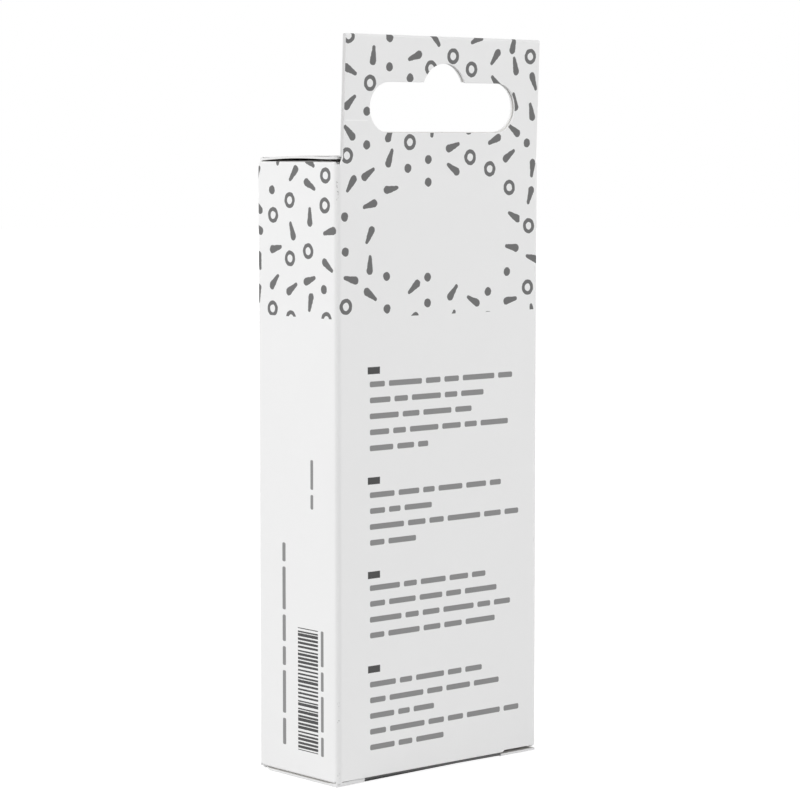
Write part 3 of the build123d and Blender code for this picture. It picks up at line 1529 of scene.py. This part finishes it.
@dataclass
class Closure:
    """One tucked end of the carton: its lid, tuck tongue and two dust flaps."""

    end: End
    sleeve: Sleeve
    lid_axis: float
    flap_axis: float
    tuck_y: float
    lid_back: float
    lid_half: float
    slits: Pair
    shoulder_shift: float
    print_height: float
    bow: float = 0.0
    hinge_dip: float = 0.0
    dip_start: float = 0.7
    dip_middle: float = 0.85
    rises: tuple[Pair, ...] = ((0.0, 0.0),)
    rise_power: int = 14
    swell: Pair = (0.0, 0.0)
    overhang: float = 0.38
    slit: float = 0.05
    ease: Pair = (1.0, 0.3)
    ease_round: float = 0.5
    ease_steps: int = 3
    tuck_roll: float = 150.0
    lid_rows: int = 10
    tongue_lean: float = 5.0
    tongue_corner: float = 3.0
    flap_tapers: Pair = (28.0, 9.0)
    flap_corner: float = 1.2
    spring: float = 0.0
    spring_run: float = 2.4
    spring_rows: int = 8
    soft: float = 0.05

    @classmethod
    def measured(cls, end: End, sleeve: Sleeve, **looks: object) -> "Closure":
        """Read one end's sizes from the frame.

        Args:
            end: the end that it closes.
            sleeve: the sleeve that it closes.
            looks: fields that the frame doesn't hold.

        Returns:
            The closure.
        """
        low, high = box_mm(f"{end.word}_lid")
        flap_low, flap_high = box_mm(f"{end.word}_left_dust_flap")
        tongue_back = box_mm(f"{end.word}_tuck_tongue")[0].y
        lean = math.radians(cls.tongue_lean)
        tuck_y = tongue_back + sleeve.board * math.cos(lean) - (sleeve.board + cls.slit) * math.sin(lean)
        return cls(
            end=end,
            sleeve=sleeve,
            lid_axis=sleeve.lid_high if end is End.TOP else sleeve.lid_low,
            flap_axis=flap_low.z if end is End.TOP else flap_high.z,
            tuck_y=tuck_y,
            lid_back=low.y,
            lid_half=high.x + cls.overhang,
            **looks,
        )

    @property
    def up(self) -> int:
        """Outward direction of this end in z."""
        return self.end.value

    @property
    def plate_start(self) -> float:
        """Distance from a crease's axis to the plate that folds on it."""
        return self.sleeve.board + self.slit

    @property
    def flap_start(self) -> float:
        """Distance from a dust flap's axis to the flap, which clears the bead of a lowered foot."""
        return self.plate_start + (self.sleeve.foot_drop if self.end is End.BOTTOM else 0.0)

    @property
    def lid_front(self) -> float:
        """Place of the lid's front edge, beside its hinge."""
        return self.sleeve.hinge_y - self.plate_start

    def tuck_rise(self, x: float) -> float:
        """Read how far the tucked edge stands up between the listed places.

        Args:
            x: place along the edge.

        Returns:
            The rise there.
        """
        for (x0, rise0), (x1, rise1) in zip(self.rises, self.rises[1:]):
            if x0 <= x <= x1:
                return rise0 + (rise1 - rise0) * (x - x0) / (x1 - x0)
        return self.rises[0][1] if x < self.rises[0][0] else self.rises[-1][1]

    def swelling(self, point: Vector) -> float:
        """Find how far the crease has swollen the left shoulder, more at its inner end and inner face.

        Args:
            point: a point of the flat lid.

        Returns:
            How far the point is lifted.
        """
        inward = (point.x + self.lid_half) / (self.slits[0] + self.lid_half)
        if not 0 <= inward <= 1 + WELD or point.y > self.tuck_y + WELD:
            return 0.0
        corner, end = self.swell
        is_inner = point.z * self.up < (self.lid_axis + self.up * self.sleeve.board / 2) * self.up
        return corner + end * inward if is_inner else end * inward / 2

    def lift(self, point: Vector) -> float:
        """Find how far the lid stands above its flat place.

        Args:
            point: a point of the flat lid.

        Returns:
            The sum of its bow, its dips at the hinge's corners, its tucked edge and its swelling.
        """
        share = max(0.0, min(1.0, (self.lid_front - point.y) / (self.lid_front - self.tuck_y)))
        out = abs(point.x) / self.lid_half
        edge = max(0.0, (out - self.dip_start) / (1 - self.dip_start))
        arch = 4 * self.bow * share * (1 - share)
        dip = self.hinge_dip * edge * edge * (1 - share) ** 3
        return arch - dip + self.tuck_rise(point.x) * share ** self.rise_power + self.swelling(point)

    def lid(self) -> Workpiece:
        """Shape the lid, with shoulders beside the tongue's crease.

        Returns:
            The lid.
        """
        work = Workpiece()
        z = self.lid_axis
        half = self.lid_half
        front = self.lid_front
        shoulder = self.lid_back + self.shoulder_shift
        length, inset = self.ease
        left, right = self.slits
        outline = (
            (inset - half, front), (-half, front - length), (-half, shoulder), (left, shoulder),
            (left, self.tuck_y), (right, self.tuck_y),
            (right, shoulder), (half, shoulder), (half, front - length), (half - inset, front),
        )
        verts = work.loop((x, y, z) for x, y in outline)
        work.fill()
        work.round_corners((verts[1], verts[-2]), self.ease_round, self.ease_steps)
        work.thicken((0, 0, self.up * self.sleeve.board))
        work.bead((0, -1, 0), (0, self.tuck_y, z), X_AXIS, self.up * self.tuck_roll)
        depth = front - self.tuck_y
        work.cut(Y_AXIS, [self.tuck_y + depth * row / self.lid_rows for row in range(1, self.lid_rows)])
        shares = (self.dip_start, self.dip_middle)
        work.cut(X_AXIS, [side.value * half * share for side in Side for share in shares])
        work.soften(self.soft)
        for vert in work.bm.verts:
            vert.co.z += self.lift(vert.co)
        return work

    def lid_role(self, middle: Vector, normal: Vector) -> Role:
        """Choose the finish of a face of the lid, which is printed outside and over its bead.

        Args:
            middle: the face's middle.
            normal: its normal.

        Returns:
            The finish.
        """
        outward = normal.z * self.up
        if abs(normal.x) > FACING:
            return Role.CUT
        if outward > LEANING:
            return Role.PRINT
        if middle.y < self.tuck_y and self.slits[0] < middle.x < self.slits[1]:
            return Role.PRINT
        return Role.INSIDE if outward < -FACING else Role.CUT

    def lid_place(self, point: Vector) -> Place:
        """Lay a point of the lid flat beyond the sleeve's print."""
        return point.x, self.print_height + point.y

    def tuck_tongue(self) -> Workpiece:
        """Shape the tuck tongue, leaning in from its crease.

        Returns:
            The tongue.
        """
        work = Workpiece()
        lean = math.radians(self.tongue_lean)
        low, high = box_mm(f"{self.end.word}_tuck_tongue")
        start = self.plate_start
        reach = (high.z - low.z - self.sleeve.board * math.sin(lean)) / math.cos(lean) + start
        half = high.x
        verts = work.loop(((-half, start, 0), (half, start, 0), (half, reach, 0), (-half, reach, 0)))
        work.fill()
        work.round_corners(verts[2:], self.tongue_corner)
        work.thicken((0, 0, self.sleeve.board))
        work.soften(self.soft)
        along = Vector((0, math.sin(lean), -self.up * math.cos(lean)))
        outward = Vector((0, -math.cos(lean), -self.up * math.sin(lean)))
        place = Matrix.Identity(4)
        place.col[0].xyz = along.cross(outward)
        place.col[1].xyz = along
        place.col[2].xyz = outward
        place.col[3].xyz = (0, self.tuck_y, self.lid_axis + self.tuck_rise(0.0))
        work.move(place)
        return work

    def dust_flap(self, side: Side) -> Workpiece:
        """Shape a dust flap, cut back towards the lid's crease.

        Args:
            side: the flap's side.

        Returns:
            The flap, whose free part is sprung outwards.
        """
        work = Workpiece()
        low, high = box_mm(f"{self.end.word}_{side.word}_dust_flap")
        root = side.value * (self.sleeve.crease_x - self.flap_start)
        tip = high.x if side is Side.LEFT else low.x
        reach = abs(root) - abs(tip) + self.plate_start
        front_slope, back_slope = (math.tan(math.radians(taper)) for taper in self.flap_tapers)
        outline = (
            (root, high.y), (root, low.y),
            (tip, low.y + reach * back_slope), (tip, high.y - reach * front_slope),
        )
        verts = work.loop((x, y, self.flap_axis) for x, y in outline)
        work.fill()
        work.round_corners(verts[2:], self.flap_corner)
        work.thicken((0, 0, self.up * self.sleeve.board))
        work.soften(self.soft)
        step = side.value * self.spring_run / self.spring_rows
        work.cut(X_AXIS, [root - step * row for row in range(1, self.spring_rows + 1)])
        for vert in work.bm.verts:
            share = min(1.0, abs(vert.co.x - root) / self.spring_run)
            vert.co.z += self.up * self.spring * share * share * (3 - 2 * share)
        return work

    def build(self, finishes: BoardFinishes) -> None:
        """Build the four pieces and dress them.

        Args:
            finishes: the board's finishes.
        """
        word = self.end.word
        finishes.dress(self.lid(), f"{word}_lid", f"{word}_lid", self.lid_role, self.lid_place)
        backward = partial(faced, Vector((0, -1, 0)))
        finishes.dress(self.tuck_tongue(), f"{word}_tuck_tongue", f"{word}_tongue", backward, plain_place)
        outward = partial(faced, Vector((0, 0, self.up)))
        for side in Side:
            name = f"{word}_{side.word}"
            finishes.dress(self.dust_flap(side), f"{name}_dust_flap", f"{name}_flap", outward, plain_place)


@dataclass
class WaxStick:
    """A round stick of sealing wax cast around a cotton wick."""

    side: Side
    middle: Vector
    radius: float
    foot: float
    head: float
    wick_radius: float
    wick_foot: float
    wick_head: float
    foot_round: float = 0.8
    foot_steps: int = 4
    head_round: float = 2.0
    head_steps: int = 8
    facets: int = 64
    dish: float = 0.45
    dish_profile: tuple[Pair, ...] = ((0.62, 0.55), (0.42, 1.0), (0.26, 0.85))
    collar_share: float = 0.8
    collar_spread: float = 1.7
    collar_drop: float = 0.35
    meniscus: float = 0.5
    strands: int = 3
    strand_sides: int = 10
    strand_pitch: float = 5.0
    strand_steps: int = 12
    strand_reach: float = 0.52

    @classmethod
    def measured(cls, side: Side) -> "WaxStick":
        """Read one stick's sizes from the frame.

        Args:
            side: the stick's side.

        Returns:
            The stick.
        """
        low, high = box_mm(f"{side.word}_wax_stick")
        wick_low, wick_high = box_mm(f"{side.word}_wick")
        middle = (low + high) / 2
        return cls(
            side=side,
            middle=Vector((middle.x, middle.y, 0)),
            radius=(high.x - low.x) / 2,
            foot=low.z,
            head=high.z,
            wick_radius=(wick_high.x - wick_low.x) / 2,
            wick_foot=wick_low.z,
            wick_head=wick_high.z,
        )

    def at(self, out: float, height: float) -> Vector:
        """Return a point of the profile, by its distance from the axis and its height."""
        return self.middle + Vector((out, 0, height))

    def stick(self) -> Workpiece:
        """Shape the wax by turning its profile.

        Returns:
            The stick, with a dished head and a collar at the wick.
        """
        work = Workpiece()
        foot_out = self.radius - self.foot_round
        head_low = self.head - self.head_round
        axis_foot = work.vertex(self.at(0, self.foot))
        foot = work.vertex(self.at(foot_out, self.foot))
        foot_middle = self.at(foot_out, self.foot + self.foot_round)
        foot_end = work.turn([foot], foot_middle, Y_AXIS, -90.0, self.foot_steps)[-1]
        rim = work.vertex(self.at(self.radius, head_low))
        rim_middle = self.at(self.radius - self.head_round, head_low)
        rim_end = work.turn([rim], rim_middle, Y_AXIS, -90.0, self.head_steps)[-1]
        collar = self.wick_radius * self.collar_share
        inner = [(self.radius * share, self.head - self.dish * drop) for share, drop in self.dish_profile]
        inner += [
            (collar * self.collar_spread, self.head - self.dish * self.collar_drop),
            (collar, self.head + self.meniscus),
            (0, self.head + self.meniscus),
        ]
        work.join(axis_foot, foot)
        work.join(foot_end, rim)
        work.join(rim_end, *(work.vertex(self.at(out, height)) for out, height in inner))
        work.lathe(self.middle, self.facets)
        return work

    def wick(self) -> Workpiece:
        """Shape the wick as strands that twist round each other.

        Returns:
            The wick.
        """
        work = Workpiece()
        length = self.wick_head - self.wick_foot
        turns = length / self.strand_pitch
        reach = self.wick_radius * self.strand_reach
        for number in range(self.strands):
            angle = math.tau * number / self.strands
            spot = Vector((math.cos(angle) * reach, math.sin(angle) * reach, self.wick_foot))
            ring = bmesh.ops.create_circle(
                work.bm, cap_ends=True, segments=self.strand_sides, radius=self.wick_radius - reach,
                matrix=Matrix.Translation(self.middle + spot),
            )["verts"]
            work.twist(ring, self.middle, length, turns, round(turns * self.strand_steps))
        work.mend()
        return work

    def build(self, wax: Material, cotton: Material) -> None:
        """Build the stick and its wick and dress them.

        Args:
            wax: the wax finish.
            cotton: the wick's finish.
        """
        pieces = (
            (f"{self.side.word}_wax_stick", "cast", self.stick(), wax, "red_wax"),
            (f"{self.side.word}_wick", "yarn", self.wick(), cotton, "cotton_wick"),
        )
        for node, ending, work, material, slot in pieces:
            made = work.to_object(f"{node}_{ending}", (material,))
            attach(made, f"{self.side.word}_stick")
            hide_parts(node)
            LOG.info("%s: %d faces", made.name, len(made.data.polygons))


@dataclass(frozen=True)
class Softbox:
    """A square studio light that faces the middle of the object."""

    name: str
    azimuth: float
    power: float
    elevation: float = 22.0
    distance: float = 2.2
    size: float = 1.2

    def build(self, target: Vector) -> None:
        """Hang the light.

        Args:
            target: the point that it faces.
        """
        data = bpy.data.lights.new(self.name, "AREA")
        data.shape = "SQUARE"
        data.size = self.size
        data.energy = self.power
        light = bpy.data.objects.new(self.name, data)
        turn = math.radians(self.azimuth)
        tilt = math.radians(self.elevation)
        back = Vector((math.sin(turn) * math.cos(tilt), -math.cos(turn) * math.cos(tilt), math.sin(tilt)))
        light.location = target + back * self.distance
        light.rotation_mode = "QUATERNION"
        light.rotation_quaternion = (-back).to_track_quat("-Z", "Y")
        bpy.context.scene.collection.objects.link(light)


@dataclass
class Studio:
    """The pale floor, the soft light and the camera at the photograph's view."""

    camera_place: Point = (-328.35, -373.10, 108.06)
    yaw: float = 41.3576
    pitch: float = 5.1752
    roll: float = 0.0011
    lens: float = 129.734
    sensor: float = 36.0
    floor_radius: float = 3.0
    floor_sides: int = 96
    floor_drop: float = 0.02
    floor_glow: float = 0.8
    floor_tone: float = 0.45
    floor_spread: float = 0.02
    floor_fade: Pair = (150.0, 900.0)
    # Where the painted shade beneath the object lies, and how dark it is.
    footprint_low: Place = (-21.0, -9.7)
    footprint_high: Place = (21.0, 9.7)
    footprint_skew: float = 0.018
    footprint_tone: float = 0.2
    opening_low: Place = (-22.9, -9.7)
    opening_high: Place = (22.9, 10.4)
    ambient: float = 0.35
    softboxes: tuple[Softbox, ...] = (
        Softbox("left_softbox", azimuth=-112.0, power=36.4),
        Softbox("right_softbox", azimuth=22.0, power=29.7),
    )

    def camera(self) -> None:
        """Set the camera up at the photograph's place and angle."""
        data = bpy.data.cameras.new("camera")
        data.lens = self.lens
        data.sensor_width = self.sensor
        data.sensor_fit = "HORIZONTAL"
        camera = bpy.data.objects.new("camera", data)
        aim = Matrix.Rotation(math.radians(-self.yaw), 4, "Z")
        aim = aim @ Matrix.Rotation(math.radians(90 - self.pitch), 4, "X")
        aim = aim @ Matrix.Rotation(math.radians(self.roll), 4, "Z")
        camera.matrix_world = Matrix.Translation(Vector(self.camera_place) * MM) @ aim
        bpy.context.scene.collection.objects.link(camera)
        bpy.context.scene.camera = camera

    @staticmethod
    def view_rays(graph: Graph) -> Signal:
        """Find the rays that show the background: seen, mirrored or through glass.

        Args:
            graph: a graph of the floor or the sky.

        Returns:
            1 for such rays, 0 for the rest.
        """
        camera, glossy, clear = (
            graph.node("ShaderNodeLightPath", None, None, name)
            for name in ("Is Camera Ray", "Is Glossy Ray", "Is Transmission Ray")
        )
        return (camera + glossy + clear).clamped()

    def floor_finish(self) -> Material:
        """Build the floor's material.

        Returns:
            A material that is white to the camera, keeps shadows and is clear from below. Beneath the
            object it carries painted shade, dark to the camera, and is open to other light, which reaches
            the underside.
        """
        graph = Graph.of_material("pale_floor")
        place = graph.place_mm()
        x = graph.axis(place, 0)
        y = graph.axis(place, 1)
        # Painted shade: beneath the object, up to a near edge that slants across, the floor's colour is
        # darkened and it does not glow.
        near_edge = (x - self.footprint_low[0]) * self.footprint_skew + self.footprint_low[1]
        beneath = x.within(self.footprint_low[0], self.footprint_high[0])
        beneath = beneath * (y > near_edge) * (y < self.footprint_high[1])
        grain = graph.noise(place, scale=0.02, detail=2.0)
        pale = graph.mix(grain, grey(self.floor_tone), grey(self.floor_tone + self.floor_spread))
        shade = graph.mix(beneath, pale, grey(self.footprint_tone))
        matte = graph.node("ShaderNodeBsdfDiffuse", None, {"Color": shade})
        near, far = self.floor_fade
        reach = graph.node("ShaderNodeVectorMath", {"operation": "LENGTH"}, {0: place}, "Value")
        fade = ((reach - near) / (far - near)).clamped()
        shown = self.view_rays(graph) * (1.0 - beneath)
        shine = graph.mix(shown, grey(0.0), graph.mix(fade, grey(self.floor_glow), grey(1.0)))
        glow = graph.node("ShaderNodeEmission", None, {"Color": shine, "Strength": 1.0})
        lit = graph.node("ShaderNodeAddShader", None, {0: matte, 1: glow})
        opening = x.within(self.opening_low[0], self.opening_high[0])
        opening = opening * y.within(self.opening_low[1], self.opening_high[1])
        camera = graph.node("ShaderNodeLightPath", None, None, "Is Camera Ray")
        under = graph.node("ShaderNodeNewGeometry", None, None, "Backfacing")
        hole = (under + opening * (1.0 - camera)).clamped()
        clear = graph.node("ShaderNodeBsdfTransparent")
        sheet = graph.node("ShaderNodeMixShader", None, {0: hole, 1: lit, 2: clear})
        graph.node("ShaderNodeOutputMaterial", None, {"Surface": sheet})
        return graph.owner

    def floor(self) -> None:
        """Lay the floor."""
        work = Workpiece()
        bmesh.ops.create_circle(
            work.bm, cap_ends=True, segments=self.floor_sides, radius=self.floor_radius / MM,
            matrix=Matrix.Translation((0, 0, -self.floor_drop)),
        )
        work.to_object("floor", (self.floor_finish(),))

    def sky(self) -> None:
        """Light the room evenly and show it white."""
        world = bpy.data.worlds.new("studio")
        bpy.context.scene.world = world
        graph = Graph(world)
        tone = graph.mix(self.view_rays(graph), grey(self.ambient), grey(1.0))
        light = graph.node("ShaderNodeBackground", None, {"Color": tone, "Strength": 1.0})
        graph.node("ShaderNodeOutputWorld", None, {"Surface": light})

    def build(self) -> None:
        """Set up the camera, the floor, the sky and the lights."""
        low, high = CAD_BOX
        self.camera()
        self.floor()
        self.sky()
        for softbox in self.softboxes:
            softbox.build((low + high) / 2)
        bpy.context.scene.view_settings.view_transform = "Standard"


def main() -> None:
    """Build the studio, the carton and the sticks, in that order."""
    logging.basicConfig(level=logging.INFO, format="%(name)s: %(message)s")
    Studio().build()
    finishes = BoardFinishes.mixed()
    sleeve = Sleeve.measured()
    sleeve.build(finishes)
    top = Closure.measured(
        End.TOP, sleeve, slits=(-15.6, 15.6), shoulder_shift=-0.3, print_height=140.0, bow=0.26,
        hinge_dip=0.25, rises=((0.0, 0.12),), spring=0.22,
    )
    bottom = Closure.measured(
        End.BOTTOM, sleeve, slits=(-16.8, 14.7), shoulder_shift=0.4, print_height=-40.0, ease=(1.9, 1.1),
        swell=(0.22, 0.32), rises=((-16.6, 0.0), (-15.6, 0.7), (13.4, 0.7), (14.7, 0.0)),
    )
    top.build(finishes)
    bottom.build(finishes)
    wax = SealingWax().build()
    cotton = CottonWick().build()
    for side in Side:
        WaxStick.measured(side).build(wax, cotton)


if __name__ == "__main__":
    main()
